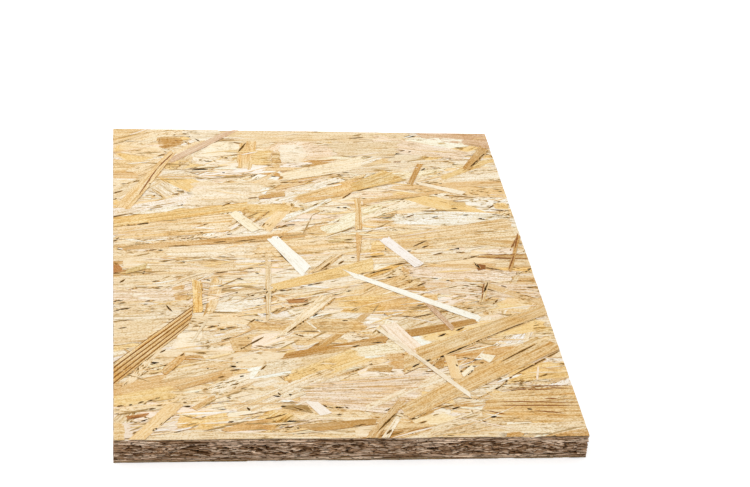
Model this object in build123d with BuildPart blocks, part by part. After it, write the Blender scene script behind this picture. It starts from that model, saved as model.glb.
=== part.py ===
"""One oriented strand board panel, sawn square on all four sides, lying flat.

Wood strands and resin are pressed into one rigid sheet, so the panel is a single solid.
X runs along the front edge, Y runs back from it and Z points up.
The origin is at the middle of the underside. All sizes are in millimetres.
"""

import os

from build123d import *

# Driving dimensions
PANEL_WIDTH = 300.0  # along the front edge
PANEL_DEPTH = 400.0  # from the front edge to the back edge
PANEL_THICKNESS = 18.0  # pressed thickness
FACE_ARRIS = 0.5  # break along the top and bottom edges, where the saw frays the strands
CORNER_ARRIS = 0.8  # break along the four upright corners, which knocks wear a little more

os.makedirs("parts", exist_ok=True)

# The sheet: its sawn outline, raised by the pressed thickness
with BuildPart() as osb_panel:
    with BuildSketch(Plane.XY):
        Rectangle(PANEL_WIDTH, PANEL_DEPTH)
    extrude(amount=PANEL_THICKNESS)

    # Upright corners first, so that the face breaks run round them unbroken
    chamfer(osb_panel.edges().filter_by(Axis.Z), length=CORNER_ARRIS)
    underside = osb_panel.faces().sort_by(Axis.Z)[0]
    top_face = osb_panel.faces().sort_by(Axis.Z)[-1]
    chamfer(underside.edges() + top_face.edges(), length=FACE_ARRIS)

osb_panel.part.label = "osb_panel"
export_step(osb_panel.part, "parts/osb_panel.step")
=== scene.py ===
"""Looks of one oriented strand board panel: pressed strands on both faces, sawn strands round the edges.

Strands are laid one over another on a height map, as the mat of a real board is formed, and the map is
then pressed flat. Lengths are millimetres in the panel's own frame, unless a name says metres.
"""

import math
from dataclasses import dataclass

import bmesh
import bpy
import numpy as np
from mathutils import Matrix, Vector, noise


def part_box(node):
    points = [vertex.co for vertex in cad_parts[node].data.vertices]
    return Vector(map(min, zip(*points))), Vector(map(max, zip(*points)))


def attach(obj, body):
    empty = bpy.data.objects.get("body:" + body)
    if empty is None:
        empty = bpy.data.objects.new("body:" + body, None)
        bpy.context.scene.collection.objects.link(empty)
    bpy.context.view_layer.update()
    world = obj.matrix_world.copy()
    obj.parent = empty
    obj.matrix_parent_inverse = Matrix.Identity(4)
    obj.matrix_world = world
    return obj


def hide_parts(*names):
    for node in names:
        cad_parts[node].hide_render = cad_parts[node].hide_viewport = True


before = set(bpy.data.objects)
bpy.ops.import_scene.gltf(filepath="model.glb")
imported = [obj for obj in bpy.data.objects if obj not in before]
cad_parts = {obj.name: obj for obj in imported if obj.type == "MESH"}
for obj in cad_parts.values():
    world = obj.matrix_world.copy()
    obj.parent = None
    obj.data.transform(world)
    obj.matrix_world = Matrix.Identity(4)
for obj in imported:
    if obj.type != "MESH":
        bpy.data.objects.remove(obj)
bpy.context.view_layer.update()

# The panel, read from the frame
METRES = 0.001
PANEL = "osb_panel"
_, PANEL_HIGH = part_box(PANEL)
HALF_WIDTH, HALF_DEPTH, THICKNESS = (float(side) / METRES for side in PANEL_HIGH)

# The photograph's camera, fitted to the corners of the panel
PHOTO_WIDTH = 750
PHOTO_HEIGHT = 487
FOCAL_PIXELS = 1877.0
SENSOR_WIDTH = 36.0
CAMERA_PLACE = Vector((-155.5, -1120.8, 734.1))
CAMERA_YAW = math.radians(9.61)
CAMERA_PITCH = math.radians(31.54)
CAMERA_ROLL = math.radians(5.39)

# Strands and their meshes
SEED = 23
STRAND_THICKNESS = 0.42
SLIVER_THICKNESS = 0.15
# the thickness of the flat plates of painted shade in gaps and voids, and of the brown painted shade round
# them
SHADE_PLATE_THICKNESS = 0.05
SPAN_ALONG = 7.0  # mesh spacing along a strand
SPAN_ACROSS = 3.0  # mesh spacing across a strand
SPAN_IN_GAP = 1.2  # mesh spacing along a gap
SIDE_BAND = 1.3  # closer spacing along a strand's sides
END_BANDS = 2.3  # the same at its ends, in side bands
UNDIVIDED_SHARE = 0.87  # a strand narrower than this share of the spacing is not divided
MOST_ROWS = 24
MOST_COLUMNS = 8
FRAY = 0.9  # how far the long sides wander
FLUSH = 0.02  # how little a pressed-in rim stands up
RIM_CONTRAST = 4.0  # how sharply a rim goes from pressed-in to proud
TINT_BLEND = 0.8  # how much colour a pressed-in rim takes from what lies below
TAPER_POWER = 2.5  # how suddenly a pointed strand narrows
END_SLANT = 0.6  # how far an end may slant, of the depth that it is torn back
END_TEETH = 0.2  # the same for its teeth
MOST_TORN_SHARE = 0.3  # the most of a strand's length that an end is torn back
OVERLAP = 0.1  # how far a strand reaches into the one below
THINNEST = 0.12  # the least thickness that the press leaves
GRAIN_SEEDS = 400.0  # the range of the numbers that set one strand's grain apart from another's

# Sizes of scattered strands, splinters, and of the specks and gaps of painted shade, from the smallest to the
# largest
STRAND_LENGTHS = (45, 130)
STRAND_WIDTHS = (5, 22)
CHIP_SHARE = 0.35  # the share of them that are short and narrow
CHIP_LENGTHS = (15, 55)
CHIP_WIDTHS = (2.7, 7)
SLIVER_LENGTHS = (6, 40)
SLIVER_WIDTHS = (0.7, 2.2)
SPECK_HALF_LENGTHS = (1.4, 4.0)
SPECK_WIDTHS = (0.7, 1.7)
GAP_WIDTHS = (0.6, 1.2)
GAP_START_SHARES = (0.0, 0.6)  # where along a strand's side a gap starts
GAP_LENGTH_SHARES = (0.1, 0.4)  # how much of that side it takes

# Shares of the strands of each kind that have a dark gap of painted shadow under one side
SCATTERED_GAP_SHARE = 0.45
SLIVER_GAP_SHARE = 0.3
FLAKE_GAP_SHARE = 0.15
CLEAR_GAP_SHARE = 0.15
TOP_SLIVER_GAP_SHARE = 0.1
BUSY_GAP_SHARE = 0.35

# The mat and the press
MAP_CELL = 1.0
MAP_MARGIN = 15.0
MAP_DENSITY = 1.7  # places for each map cell, so that a strand covers the map without holes
HIGH_SPOT_SHARE = 0.75  # how much a strand rests on the high spots near it
OWN_SEAT_SHARE = 0.55  # how much it follows what lies below, across its width
LEVEL_SEAT_SHARE = 0.45  # how much it stays level there
PRESS_BLUR = 14.0  # hollows wider than this are pressed out
PRESS_LEVEL = 0.5
PRESS_SOFTNESS = 0.4
PRESS_LIMIT = 0.85  # the deepest hollow that the press leaves
BED_PITCH = (75.0, 14.0)  # a regular first layer, so that the mat has no holes
BED_SIZE = (95.0, 22.0)
BED_SHIFT = 4  # how far its strands lie from their regular places
BED_TURN = 3  # spread of their angles
BED_STRIPES = 0.2
SCATTER_STRIPES = (0.0, 0.4)
SCATTER_BEYOND = 8.0  # how far past the panel's sides the middle of a scattered strand may lie
SCATTERED = 430  # strands scattered over each face
BARE_SHARE = 0.3  # the first of them, with no thin splinters over them
SLIVERS_EACH = 2  # thin splinters over each of the others
TOP_SLIVERS = 220  # more of them on the top, over the photograph's flakes
TOP_SPECKS = 20  # small voids on the top, painted as specks of shade, besides those in the photograph
UNDERSIDE_SPECKS = 160  # small voids on the underside, painted as specks of shade
GRAIN_ANGLE = 8.0  # degrees from X, the way most strands lie
ANGLE_SHARES = (0.55, 0.3, 0.15)  # strands about along X, turned to the left, and any way
ALONG_ANGLES = (5, 9)  # middle and spread of the first kind's angles
LEFT_ANGLES = (27, 10)  # the same of the second kind's
ANY_ANGLES = (-70, 75)  # the least and the most of the third kind's
SLIVER_TURN = 15  # spread of the splinters' angles
SPECK_TURN = 22  # spread of the specks' angles
GAP_SHADE_WIDTH = 2.2  # how much wider than a gap its brown fringe of painted shade is
GAP_SHADE_RIM = 0.6  # the part of it on each side where it fades out
# the tone of the brown painted shade round each kind of dark gap
GAP_SHADE_TONES = {"void": "rust", "crack": "rust"}

# How the strands of the photograph's two tables are formed
FLAKE_FORM = {"ragged": 14.0, "fray": 3.0, "pointed": 0.12, "merging": 0.4, "rim": 2.0, "wear": 0.5}
CLEAR_FORM = {"ragged": 8.0, "fray": 1.4, "merging": 0.12, "wear": 0.2}

# The sawn edges
SAW_ROUGHNESS = 0.25
SAW_WAVES = 700.0  # waves of that roughness in a metre
EDGE_PITCH = 0.85  # from layer to layer
EDGE_DEPTH = 9.0  # how far the strands of an edge reach into the panel
FACE_BAND = 4.8  # on each face, the layers whose strands run along X
SKIN = 1.25  # the part of that band that belongs to the face itself
LONG_SPAN = (8.0, 34.0)
SHORT_SPAN = (2.5, 9.0)
EDGE_SPACING = 3.0  # mesh spacing along an edge
SAW_WASTE = 2.0  # how far the strands of an edge reach past it, for the saw to cut off
EDGE_STEP_SHARES = (0.75, 1.0)  # from one strand of a layer to the next, of its length
EDGE_DEPTH_SHARES = (0.6, 1.0)  # how much of the edge's depth a strand has
EDGE_HALF_THICKNESSES = (0.3, 0.62)
EDGE_TAPER = 0.8  # how much thinner a strand is at its ends
EDGE_THINNEST = 0.1
EDGE_SHADE_SPREAD = 0.08  # how much strands of one tone differ in lightness
LONG_TILT = 0.4  # spread of the rise from a long strand's middle to its end
SHORT_TILT = 0.5  # the same of a short one
# Waves along an edge: rise, length of one radian, radians for each millimetre up, and radians at the start
EDGE_WAVES = ((0.32, 21.0, 0.21, 0.0), (0.24, 8.3, 0.43, 1.3), (0.14, 3.7, 0.9, 0.4))

# Colours of strands, as they look in even light, 0 to 255. Crack and void are painted shade instead, for gaps
# and small voids between strands, and umber also colours painted shadow lines.
TONES = {
    "white": (254, 243, 230),
    "cream": (250, 234, 207),
    "straw": (246, 223, 185),
    "blush": (250, 229, 205),
    "gold": (244, 209, 144),
    "honey": (239, 206, 153),
    "rose": (224, 188, 154),
    "tan": (226, 186, 129),
    "rust": (208, 161, 94),
    "olive": (222, 196, 140),
    "amber": (196, 150, 84),
    "knot": (188, 134, 80),
    "umber": (176, 142, 88),
    "sienna": (150, 98, 52),
    "crack": (94, 65, 17),
    "void": (48, 32, 7),
}
SCATTER_SHARES = {
    "white": 0.13,
    "cream": 0.30,
    "straw": 0.26,
    "blush": 0.09,
    "gold": 0.08,
    "honey": 0.09,
    "tan": 0.04,
    "rust": 0.01,
}
SLIVER_TONES = ("white", "cream", "cream", "straw", "straw", "blush", "honey", "gold", "tan", "umber")
SHADE_SPREAD = 0.04  # how much strands of one tone differ in lightness
WARMTH_SPREAD = 0.015  # how much they differ in warmth
BRIGHTEST = 0.97

# Colours of the sawn section, partly its own and partly painted shade, darker than the faces as a side in
# shade is, with pit as painted shade in deep pits; and how often each comes in the outer bands and in the
# middle
SECTION_TONES_AND_SHADE = {
    "ash": (232, 205, 178),
    "grey": (199, 170, 144),
    "brown": (175, 140, 109),
    "bark": (134, 101, 71),
    "pit": (62, 44, 27),
}
FACE_BAND_SHARES = (0.30, 0.36, 0.19, 0.10, 0.05)
MIDDLE_SHARES = (0.17, 0.27, 0.27, 0.16, 0.13)
PIT_DEPTHS = (1.0, 2.4)
CUT_DEPTHS = (0.0, 0.6)

# Strands read off the photograph, lowest first: tone, stripes, then one long side and the other,
# each from start to end, in pixels of the 750 x 487 frame. Flakes are pressed into what lies round them.
PHOTO_FLAKES = [
    ("straw", 0.2, (215, 130), (415, 129), (225, 142), (400, 141)),
    ("honey", 0.3, (106, 128), (150, 128), (106, 146), (136, 137)),
    ("straw", 0.1, (122, 143), (162, 146), (120, 153), (163, 158)),
    ("rust", 0.35, (157, 136), (183, 135), (160, 148), (181, 146)),
    ("cream", 0.1, (184, 129), (222, 129), (195, 143), (214, 141)),
    ("cream", 0.1, (204, 143), (242, 140), (200, 156), (240, 155)),
    ("honey", 0.3, (238, 142), (238, 169), (257, 141), (252, 168)),
    ("gold", 0.4, (252, 150), (273, 149), (250, 165), (272, 164)),
    ("honey", 0.4, (272, 152), (282, 152), (272, 167), (281, 167)),
    ("cream", 0.1, (280, 144), (310, 146), (280, 162), (304, 163)),
    ("blush", 0.2, (303, 144), (332, 144), (305, 158), (330, 157)),
    ("blush", 0.2, (375, 134), (470, 152), (372, 150), (465, 160)),
    ("straw", 0.2, (330, 143), (400, 140), (335, 155), (395, 158)),
    ("cream", 0.15, (282, 172), (362, 155), (280, 182), (362, 168)),
    ("honey", 0.35, (293, 197), (362, 174), (300, 204), (362, 190)),
    ("cream", 0.2, (188, 181), (262, 183), (186, 206), (262, 203)),
    ("gold", 0.1, (170, 161), (179, 161), (170, 167), (179, 167)),
    ("cream", 0.3, (156, 168), (196, 169), (156, 177), (196, 178)),
    ("honey", 0.3, (106, 158), (140, 160), (106, 173), (140, 172)),
    ("straw", 0.2, (128, 169), (200, 139), (136, 177), (212, 144)),
    ("straw", 0.4, (118, 222), (235, 212), (116, 240), (232, 232)),
    ("gold", 0.2, (236, 203), (292, 203), (240, 213), (290, 211)),
    ("gold", 0.2, (449, 202), (466, 202), (450, 207), (464, 207)),
    ("gold", 0.2, (494, 203), (507, 202), (494, 208), (509, 209)),
    ("straw", 0.25, (106, 246), (170, 246), (106, 262), (168, 258)),
    ("cream", 0.2, (168, 245), (255, 242), (165, 257), (255, 256)),
    ("straw", 0.0, (122, 259), (146, 258), (124, 269), (142, 268)),
    ("straw", 0.3, (150, 258), (250, 256), (150, 275), (250, 272)),
    ("straw", 0.2, (106, 276), (180, 272), (106, 290), (180, 287)),
    ("blush", 0.3, (106, 289), (186, 288), (106, 302), (186, 299)),
    ("tan", 0.2, (174, 293), (187, 292), (175, 305), (186, 304)),
    ("tan", 0.2, (171, 286), (185, 284), (172, 291), (184, 290)),
    ("cream", 0.3, (236, 256), (262, 258), (236, 267), (258, 266)),
    ("gold", 0.3, (372, 241), (386, 240), (370, 256), (384, 256)),
    ("straw", 0.4, (382, 236), (508, 216), (390, 250), (522, 244)),
    ("honey", 0.3, (476, 238), (520, 241), (474, 245), (524, 250)),
    ("blush", 0.2, (408, 266), (512, 270), (408, 276), (512, 282)),
    ("straw", 0.4, (212, 277), (203, 312), (224, 277), (215, 313)),
    ("cream", 0.3, (106, 300), (190, 300), (106, 320), (180, 318)),
    ("straw", 0.2, (106, 320), (160, 318), (106, 345), (150, 340)),
    ("cream", 0.0, (176, 333), (205, 330), (172, 350), (198, 348)),
    ("straw", 0.3, (165, 362), (235, 350), (165, 382), (235, 368)),
    ("rust", 0.3, (183, 356), (203, 354), (184, 360), (203, 359)),
    ("straw", 0.3, (255, 362), (350, 344), (262, 376), (352, 358)),
    ("honey", 0.3, (232, 337), (252, 336), (232, 353), (252, 352)),
    ("honey", 0.4, (250, 320), (365, 318), (250, 330), (365, 331)),
    ("gold", 0.15, (285, 372), (360, 346), (300, 385), (368, 362)),
    ("cream", 0.4, (240, 402), (330, 366), (250, 414), (345, 378)),
    ("gold", 0.35, (336, 297), (395, 292), (340, 312), (395, 314)),
    ("cream", 0.2, (352, 345), (408, 338), (358, 357), (402, 353)),
    ("rust", 0.2, (366, 366), (392, 364), (368, 371), (392, 371)),
    ("blush", 0.5, (306, 382), (425, 372), (300, 405), (420, 416)),
    ("gold", 0.15, (106, 395), (180, 383), (106, 409), (170, 398)),
    ("gold", 0.3, (176, 412), (230, 408), (178, 430), (226, 428)),
    ("tan", 0.35, (226, 421), (275, 417), (224, 432), (275, 430)),
    ("cream", 0.0, (229, 411), (252, 410), (229, 420), (250, 419)),
    ("straw", 0.2, (150, 431), (275, 430), (140, 445), (275, 445)),
    ("honey", 0.2, (106, 422), (124, 422), (106, 445), (124, 445)),
    ("straw", 0.3, (250, 432), (360, 430), (250, 445), (358, 445)),
    ("straw", 0.0, (354, 426), (373, 425), (356, 437), (368, 437)),
    ("honey", 0.25, (380, 296), (436, 292), (382, 316), (432, 315)),
    ("straw", 0.3, (430, 425), (510, 405), (432, 444), (505, 440)),
    ("honey", 0.4, (486, 392), (582, 383), (485, 420), (594, 424)),
    ("straw", 0.2, (503, 424), (596, 420), (505, 434), (596, 432)),
    ("tan", 0.4, (530, 438), (598, 424), (540, 442), (598, 438)),
]
PHOTO_STRANDS = [
    ("rose", 0.2, (404, 126), (496, 126), (424, 138), (492, 149)),
    ("tan", 0.1, (273, 186), (314, 179), (278, 189), (304, 184)),
    ("rust", 0.1, (257, 196), (284, 191), (259, 199), (285, 196)),
    ("gold", 0.4, (350, 184), (386, 169), (354, 191), (404, 180)),
    ("tan", 0.1, (364, 199), (440, 190), (364, 204), (440, 193)),
    ("cream", 0.0, (416, 181), (465, 191), (417, 184), (463, 195)),
    ("rose", 0.1, (165, 160), (227, 130), (171, 163), (238, 130)),
    ("honey", 0.2, (169, 151), (115, 206), (176, 152), (129, 210)),
    ("rust", 0.2, (481, 145), (463, 167), (489, 150), (469, 170)),
    ("rust", 0.2, (417, 163), (407, 184), (423, 163), (413, 183)),
    ("gold", 0.3, (106, 218), (246, 202), (106, 227), (246, 210)),
    ("tan", 0.3, (118, 246), (306, 231), (122, 250), (306, 237)),
    ("knot", 0.2, (104, 266), (120, 264), (104, 274), (123, 271)),
    ("olive", 0.3, (125, 269), (146, 263), (127, 273), (147, 268)),
    ("cream", 0.0, (228, 213), (252, 232), (238, 211), (263, 229)),
    ("white", 0.0, (266, 238), (301, 275), (278, 236), (312, 267)),
    ("gold", 0.2, (270, 284), (372, 258), (272, 291), (376, 270)),
    ("straw", 0.5, (309, 272), (334, 254), (321, 271), (344, 254)),
    ("olive", 0.2, (327, 240), (353, 237), (330, 242), (353, 241)),
    ("straw", 0.3, (265, 256), (266, 320), (271, 256), (271, 320)),
    ("honey", 0.5, (354, 198), (356, 229), (361, 198), (362, 229)),
    ("tan", 0.3, (356, 234), (357, 261), (363, 234), (359, 262)),
    ("honey", 0.3, (359, 291), (377, 281), (362, 294), (379, 286)),
    ("sienna", 0.0, (475, 263), (486, 265), (478, 270), (485, 269)),
    ("rust", 0.2, (478, 255), (532, 254), (478, 257), (532, 259)),
    ("rust", 0.2, (517, 233), (508, 270), (521, 234), (512, 270)),
    ("white", 0.0, (379, 240), (416, 268), (388, 236), (425, 264)),
    ("gold", 0.4, (192, 279), (193, 312), (201, 279), (203, 312)),
    ("honey", 1.0, (104, 369), (196, 303), (104, 393), (187, 327)),
    ("straw", 0.1, (205, 320), (191, 341), (208, 320), (194, 342)),
    ("tan", 0.3, (160, 370), (182, 353), (168, 374), (187, 357)),
    ("knot", 0.2, (287, 299), (313, 297), (289, 303), (306, 302)),
    ("tan", 0.1, (273, 313), (287, 306), (276, 314), (287, 309)),
    ("cream", 0.2, (279, 334), (322, 293), (285, 336), (336, 297)),
    ("rust", 0.4, (283, 353), (387, 335), (282, 359), (390, 342)),
    ("tan", 0.3, (176, 384), (223, 371), (182, 389), (226, 376)),
    ("knot", 0.2, (126, 416), (150, 412), (127, 419), (146, 416)),
    ("honey", 0.1, (126, 442), (167, 403), (142, 442), (182, 406)),
    ("tan", 0.3, (191, 407), (213, 395), (195, 411), (217, 399)),
    ("rust", 0.1, (300, 425), (377, 418), (318, 431), (378, 424)),
    ("umber", 0.1, (281, 405), (305, 404), (285, 408), (315, 413)),
    ("white", 0.0, (307, 402), (322, 417), (317, 401), (331, 411)),
    ("cream", 0.2, (380, 440), (396, 416), (388, 440), (402, 416)),
    ("tan", 0.3, (361, 444), (398, 399), (373, 444), (406, 400)),
    ("amber", 0.3, (405, 330), (474, 318), (410, 337), (477, 323)),
    ("rose", 0.2, (420, 298), (451, 330), (426, 298), (457, 329)),
    ("blush", 0.1, (381, 326), (411, 356), (393, 320), (427, 350)),
    ("rust", 0.2, (505, 433), (525, 431), (506, 438), (523, 437)),
    ("rust", 0.3, (433, 363), (444, 358), (434, 368), (445, 367)),
    ("honey", 0.35, (404, 352), (552, 301), (404, 374), (554, 310)),
    ("honey", 0.35, (400, 406), (534, 337), (408, 420), (566, 346)),
    ("honey", 0.0, (444, 355), (452, 378), (456, 355), (462, 377)),
    ("cream", 0.0, (461, 372), (472, 365), (464, 376), (475, 369)),
    ("cream", 0.1, (480, 353), (496, 356), (480, 357), (489, 362)),
    ("cream", 0.0, (378, 330), (470, 397), (381, 328), (473, 394)),
    ("white", 0.0, (346, 270), (482, 316), (350, 276), (478, 321)),
    ("honey", 0.2, (486, 281), (479, 302), (490, 281), (484, 303)),
]

# Parts of the photograph with the most splinters: left, top, right and bottom in pixels, and how many more
BUSY_ZONES = {
    (113, 252, 262, 304): 55,
    (255, 280, 345, 322): 22,
    (395, 278, 480, 320): 20,
    (448, 348, 500, 378): 12,
    (150, 398, 330, 436): 34,
    (113, 135, 250, 182): 16,
    (430, 412, 500, 436): 10,
}

# The void, crack and umber marks are painted shade in gaps and painted shadow under strands' sides; the
# sienna marks are dark lines along strands.
# Dark marks read off the photograph, for each tone and width in millimetres: start x and y, then end
# x and y, in pixels
PHOTO_MARKS = {
    ("void", 1.7): [
        (113, 301, 122, 300), (119, 309, 130, 308), (166, 305, 172, 311), (207, 327, 219, 325),
        (125, 225, 138, 224), (138, 224, 151, 222), (220, 156, 228, 158), (251, 176, 255, 174),
        (337, 207, 340, 207), (343, 207, 347, 207), (421, 170, 425, 168), (478, 218, 485, 219),
        (524, 272, 531, 268), (474, 262, 480, 268), (328, 407, 344, 407), (289, 394, 292, 394),
        (184, 406, 191, 406), (229, 366, 236, 366), (491, 417, 497, 416), (527, 408, 532, 409),
        (113, 241, 119, 237), (292, 421, 295, 420),
    ],
    ("void", 1.4): [
        (158, 250, 163, 250), (182, 261, 185, 262), (152, 281, 161, 280), (143, 273, 145, 270),
        (207, 279, 210, 280), (201, 288, 204, 288), (271, 293, 277, 289), (280, 290, 286, 290),
        (308, 285, 313, 284), (264, 289, 267, 289), (255, 272, 259, 273), (287, 224, 295, 224),
        (351, 257, 355, 257), (369, 273, 377, 271), (345, 291, 352, 290), (313, 316, 318, 313),
        (384, 314, 389, 311), (422, 247, 429, 245), (446, 280, 450, 280), (488, 282, 484, 292),
        (432, 217, 438, 216), (439, 183, 442, 183), (149, 184, 151, 183), (122, 183, 126, 183),
        (222, 172, 225, 172), (181, 205, 183, 204), (446, 354, 468, 345), (440, 357, 444, 355),
        (426, 361, 431, 359), (412, 367, 420, 363), (460, 372, 468, 366), (467, 375, 473, 370),
        (493, 390, 500, 386), (450, 409, 461, 406), (352, 347, 360, 345), (372, 343, 384, 342),
        (369, 364, 380, 362), (129, 405, 132, 404), (138, 403, 144, 401), (147, 401, 160, 397),
        (141, 421, 147, 419), (152, 431, 157, 428), (273, 395, 280, 396), (281, 406, 286, 406),
        (266, 418, 273, 417), (280, 427, 284, 426), (240, 376, 244, 375), (255, 320, 263, 320),
        (342, 320, 348, 320), (473, 165, 480, 159), (438, 336, 446, 333), (456, 330, 464, 327),
    ],
    ("crack", 1.3): [
        (144, 251, 157, 249), (168, 246, 190, 245), (120, 282, 125, 278), (119, 273, 135, 275),
        (128, 290, 138, 287), (151, 287, 160, 288), (201, 282, 202, 297), (118, 303, 126, 302),
        (145, 301, 155, 300), (113, 311, 120, 309), (213, 273, 228, 271), (238, 269, 256, 267),
        (237, 278, 244, 279), (286, 290, 305, 286), (268, 291, 266, 293), (265, 295, 266, 298),
        (271, 296, 273, 296), (234, 292, 238, 292), (246, 294, 254, 295), (304, 301, 312, 298),
        (289, 307, 297, 305), (303, 305, 309, 303), (273, 312, 286, 306), (320, 270, 343, 254),
        (338, 264, 344, 260), (364, 257, 384, 255), (377, 271, 392, 268), (392, 265, 409, 262),
        (407, 251, 411, 250), (313, 284, 323, 282), (321, 310, 336, 297), (389, 315, 413, 316),
        (413, 246, 427, 240), (432, 255, 443, 252), (456, 252, 466, 252), (463, 259, 478, 255),
        (485, 267, 503, 270), (416, 286, 426, 282), (464, 285, 469, 286), (484, 301, 491, 297),
        (493, 304, 498, 299), (501, 285, 507, 287), (527, 287, 533, 287), (417, 305, 424, 304),
        (413, 317, 433, 313), (226, 327, 238, 326), (249, 323, 255, 319), (271, 313, 281, 310),
        (263, 315, 268, 314), (221, 340, 232, 337), (233, 353, 246, 346), (246, 346, 264, 336),
        (247, 336, 250, 339), (287, 333, 310, 317), (295, 333, 305, 336), (256, 345, 272, 347),
        (230, 370, 240, 369), (261, 370, 266, 365), (218, 377, 224, 376), (335, 376, 367, 366),
        (386, 360, 389, 359), (378, 370, 395, 371), (117, 406, 124, 405), (147, 409, 156, 408),
        (127, 423, 135, 421), (160, 425, 177, 412), (183, 402, 187, 402), (241, 388, 245, 387),
        (227, 397, 231, 398), (293, 407, 305, 410), (307, 410, 313, 412), (247, 407, 250, 410),
        (273, 417, 287, 413), (285, 427, 294, 426), (228, 422, 234, 421), (323, 404, 328, 407),
        (345, 406, 350, 408), (337, 414, 342, 414), (353, 426, 366, 424), (378, 431, 396, 413),
        (387, 434, 392, 429), (385, 410, 393, 408), (468, 345, 492, 335), (492, 335, 546, 314),
        (433, 366, 438, 358), (401, 370, 411, 370), (473, 360, 478, 359), (480, 362, 484, 362),
        (463, 357, 470, 358), (456, 364, 458, 366), (410, 418, 418, 418), (418, 417, 441, 407),
        (441, 407, 472, 400), (476, 399, 492, 391), (500, 386, 513, 375), (513, 375, 560, 350),
        (502, 361, 537, 343), (418, 424, 427, 420), (479, 420, 488, 422), (504, 384, 507, 383),
        (157, 156, 166, 153), (185, 141, 191, 144), (195, 138, 200, 141), (182, 133, 189, 134),
        (205, 161, 212, 161), (113, 193, 123, 190), (113, 199, 117, 197), (151, 198, 155, 194),
        (172, 194, 181, 193), (233, 142, 241, 143), (238, 152, 246, 142), (280, 182, 289, 182),
        (273, 188, 281, 184), (248, 198, 258, 197), (222, 206, 231, 202), (348, 138, 364, 137),
        (400, 151, 405, 150), (408, 152, 411, 151), (343, 172, 349, 172), (326, 185, 340, 182),
        (342, 198, 351, 192), (467, 170, 488, 150), (429, 166, 441, 168), (451, 208, 457, 208),
        (488, 208, 499, 202), (490, 209, 512, 211), (391, 214, 408, 214), (406, 217, 414, 214),
        (193, 228, 208, 223), (200, 232, 203, 232), (243, 219, 254, 216), (252, 223, 270, 210),
        (280, 227, 287, 224), (320, 211, 326, 209), (213, 242, 226, 241), (236, 241, 256, 239),
        (277, 238, 283, 236), (227, 234, 232, 233), (118, 328, 127, 327), (160, 352, 166, 349),
        (180, 356, 184, 353), (344, 240, 353, 239), (207, 366, 208, 369), (278, 392, 281, 395),
    ],
    ("umber", 1.2): [
        (120, 248, 149, 242), (160, 220, 177, 220), (183, 218, 192, 217), (177, 231, 185, 231),
        (162, 278, 171, 275), (173, 277, 182, 275), (175, 261, 181, 259), (138, 287, 147, 287),
        (165, 288, 172, 285), (254, 289, 262, 289), (224, 302, 233, 296), (290, 316, 303, 312),
        (314, 269, 333, 255), (384, 276, 396, 270), (364, 291, 377, 284), (313, 294, 324, 291),
        (313, 317, 340, 312), (350, 311, 359, 307), (353, 312, 360, 308), (372, 313, 379, 304),
        (452, 297, 481, 293), (430, 263, 439, 262), (278, 351, 287, 351), (368, 370, 378, 370),
        (129, 431, 142, 426), (154, 432, 173, 431), (186, 426, 198, 422), (191, 428, 199, 424),
        (211, 393, 223, 391), (205, 405, 216, 399), (256, 412, 267, 411), (248, 430, 266, 429),
        (293, 422, 304, 422), (296, 421, 309, 421), (304, 388, 314, 388), (433, 415, 439, 413),
        (452, 424, 460, 425), (480, 410, 485, 410), (472, 409, 473, 413), (548, 434, 584, 426),
        (113, 144, 129, 139), (116, 138, 142, 133), (161, 169, 192, 169), (156, 179, 186, 179),
        (141, 205, 150, 205), (172, 205, 180, 205), (220, 177, 237, 175), (240, 173, 251, 174),
        (281, 142, 296, 141), (304, 182, 313, 180), (377, 200, 413, 197), (400, 199, 421, 196),
        (427, 196, 437, 196), (449, 201, 470, 201), (465, 143, 480, 146), (384, 170, 393, 170),
        (401, 179, 408, 178), (283, 236, 305, 234), (303, 234, 312, 215), (312, 215, 320, 211),
    ],
    ("sienna", 1.3): [
        (158, 167, 173, 153), (139, 194, 158, 167), (478, 254, 528, 254), (478, 257, 528, 258),
        (510, 250, 517, 237), (515, 248, 518, 233), (509, 269, 514, 255), (482, 299, 484, 282),
        (159, 144, 160, 138), (174, 139, 178, 140), (393, 162, 401, 161), (394, 161, 400, 162),
        (289, 182, 304, 182), (259, 198, 271, 198), (290, 300, 308, 298), (128, 418, 142, 416),
        (524, 385, 568, 385), (511, 387, 572, 388), (502, 389, 554, 389), (544, 398, 558, 398),
        (500, 401, 578, 402), (500, 405, 578, 405), (535, 410, 565, 413), (486, 410, 506, 414),
    ],
}


def linear(colour):
    """A 0 to 255 display colour as the linear numbers that shaders take."""
    share = np.array(colour) / 255.0
    return np.where(share <= 0.04045, share / 12.92, ((share + 0.055) / 1.055) ** 2.4)


def shader_colour(colour):
    """A 0 to 255 display colour as a shader socket takes it."""
    return (*linear(colour), 1.0)


# Camera


def camera_axes():
    """The camera's right, up and forward directions."""
    forward = Vector((
        math.sin(CAMERA_YAW) * math.cos(CAMERA_PITCH),
        math.cos(CAMERA_YAW) * math.cos(CAMERA_PITCH),
        -math.sin(CAMERA_PITCH),
    ))
    level_right = Vector((math.cos(CAMERA_YAW), -math.sin(CAMERA_YAW), 0.0))
    level_up = level_right.cross(forward)
    right = math.cos(CAMERA_ROLL) * level_right + math.sin(CAMERA_ROLL) * level_up
    up = math.cos(CAMERA_ROLL) * level_up - math.sin(CAMERA_ROLL) * level_right
    return right, up, forward


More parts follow.
